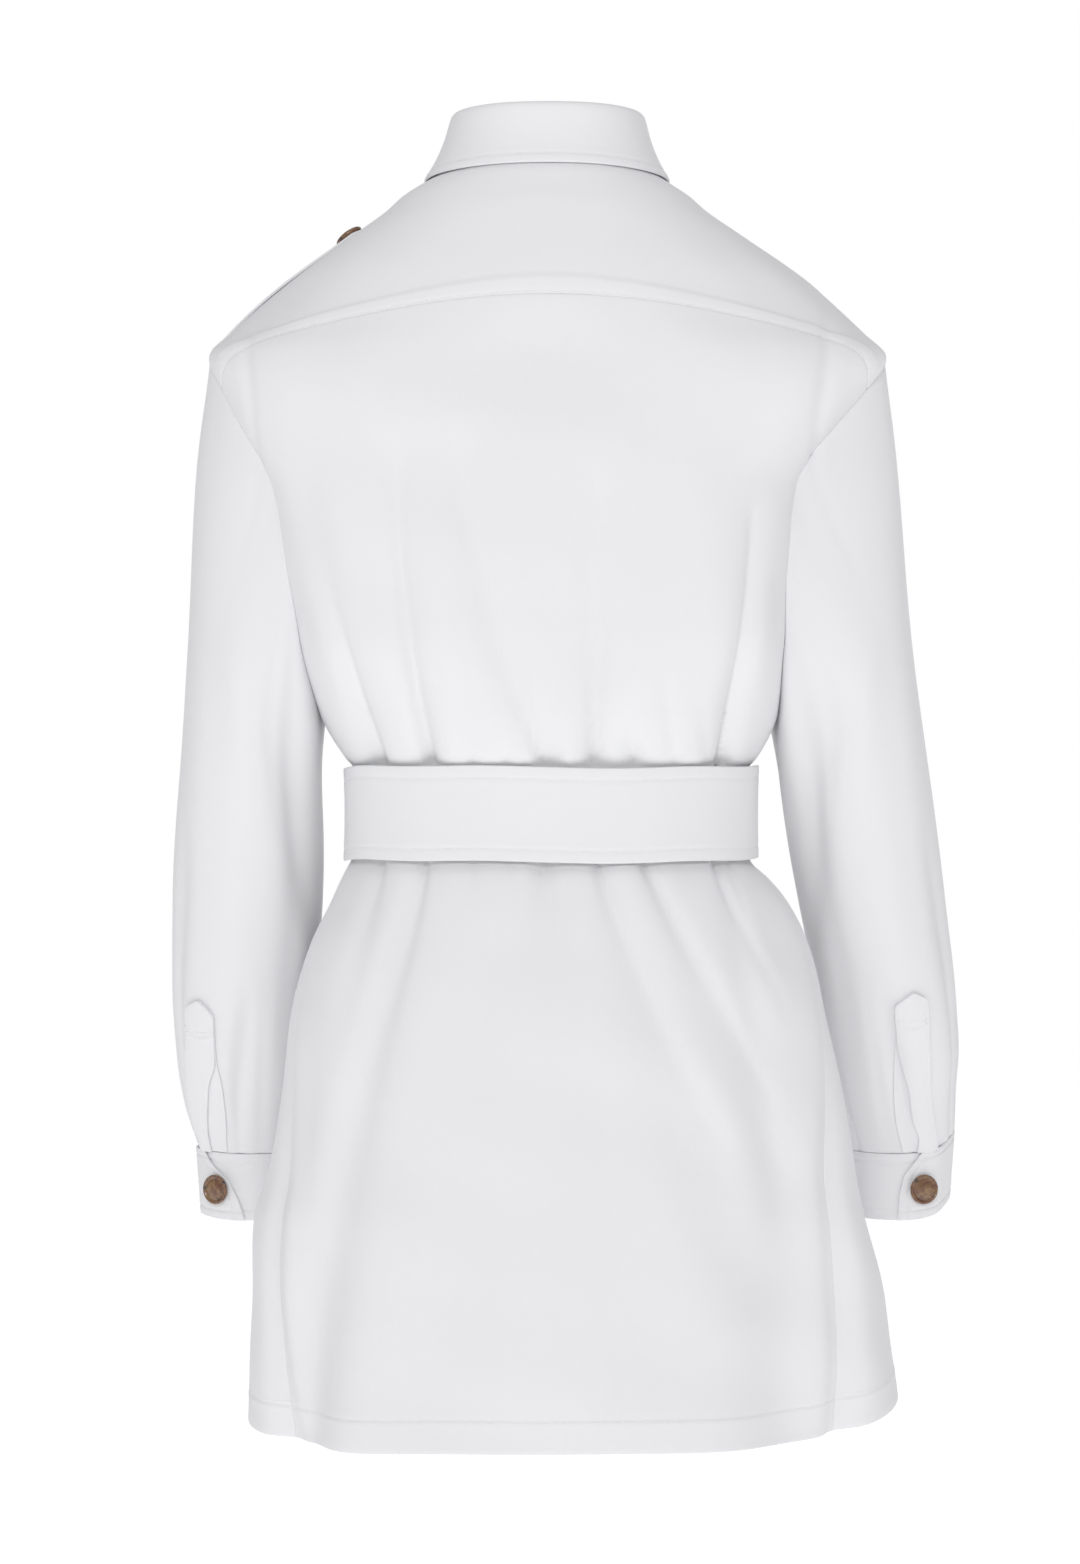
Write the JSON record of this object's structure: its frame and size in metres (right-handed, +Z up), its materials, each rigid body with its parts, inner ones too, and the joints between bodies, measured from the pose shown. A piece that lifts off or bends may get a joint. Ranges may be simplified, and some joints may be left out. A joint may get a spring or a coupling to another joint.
{
  "type": "belted safari jacket",
  "caption": "Hip-length belted safari jacket in smooth white cloth with a shirt collar, back yoke, epaulettes and cuffed sleeves, filled out as worn.",
  "frame": {"origin": "middle of the neck, at the height of the seam under the back of the collar, where the wearer holds it up", "axes": "+Z up; -Y to the wearer's front; +X to the wearer's left"},
  "size_m": [0.5059, 0.2795, 0.822],
  "materials": {
    "shell_cloth": "smooth matt white crepe with a fine grain",
    "belt_cloth": "the same white cloth over a stiffener",
    "horn": "polished brown imitation horn, mottled"
  },
  "bodies": {
    "root": {"back_panel": "shell_cloth", "back_yoke": "shell_cloth", "front_left": "shell_cloth", "front_right": "shell_cloth", "front_placket": "shell_cloth", "collar_stand": "shell_cloth", "collar_fall": "shell_cloth", "sleeve_left": "shell_cloth", "sleeve_right": "shell_cloth", "cuff_left": "shell_cloth", "cuff_right": "shell_cloth", "sleeve_placket_left": "shell_cloth", "sleeve_placket_right": "shell_cloth", "epaulette_left": "shell_cloth", "epaulette_right": "shell_cloth", "belt": "belt_cloth", "front_button_1": "horn", "front_button_2": "horn", "front_button_3": "horn", "front_button_4": "horn", "front_button_5": "horn", "front_button_6": "horn", "front_button_7": "horn", "epaulette_button_left": "horn", "epaulette_button_right": "horn", "cuff_button_left": "horn", "cuff_button_right": "horn", "belt_buckle": "horn"}
  },
  "joints": []
}
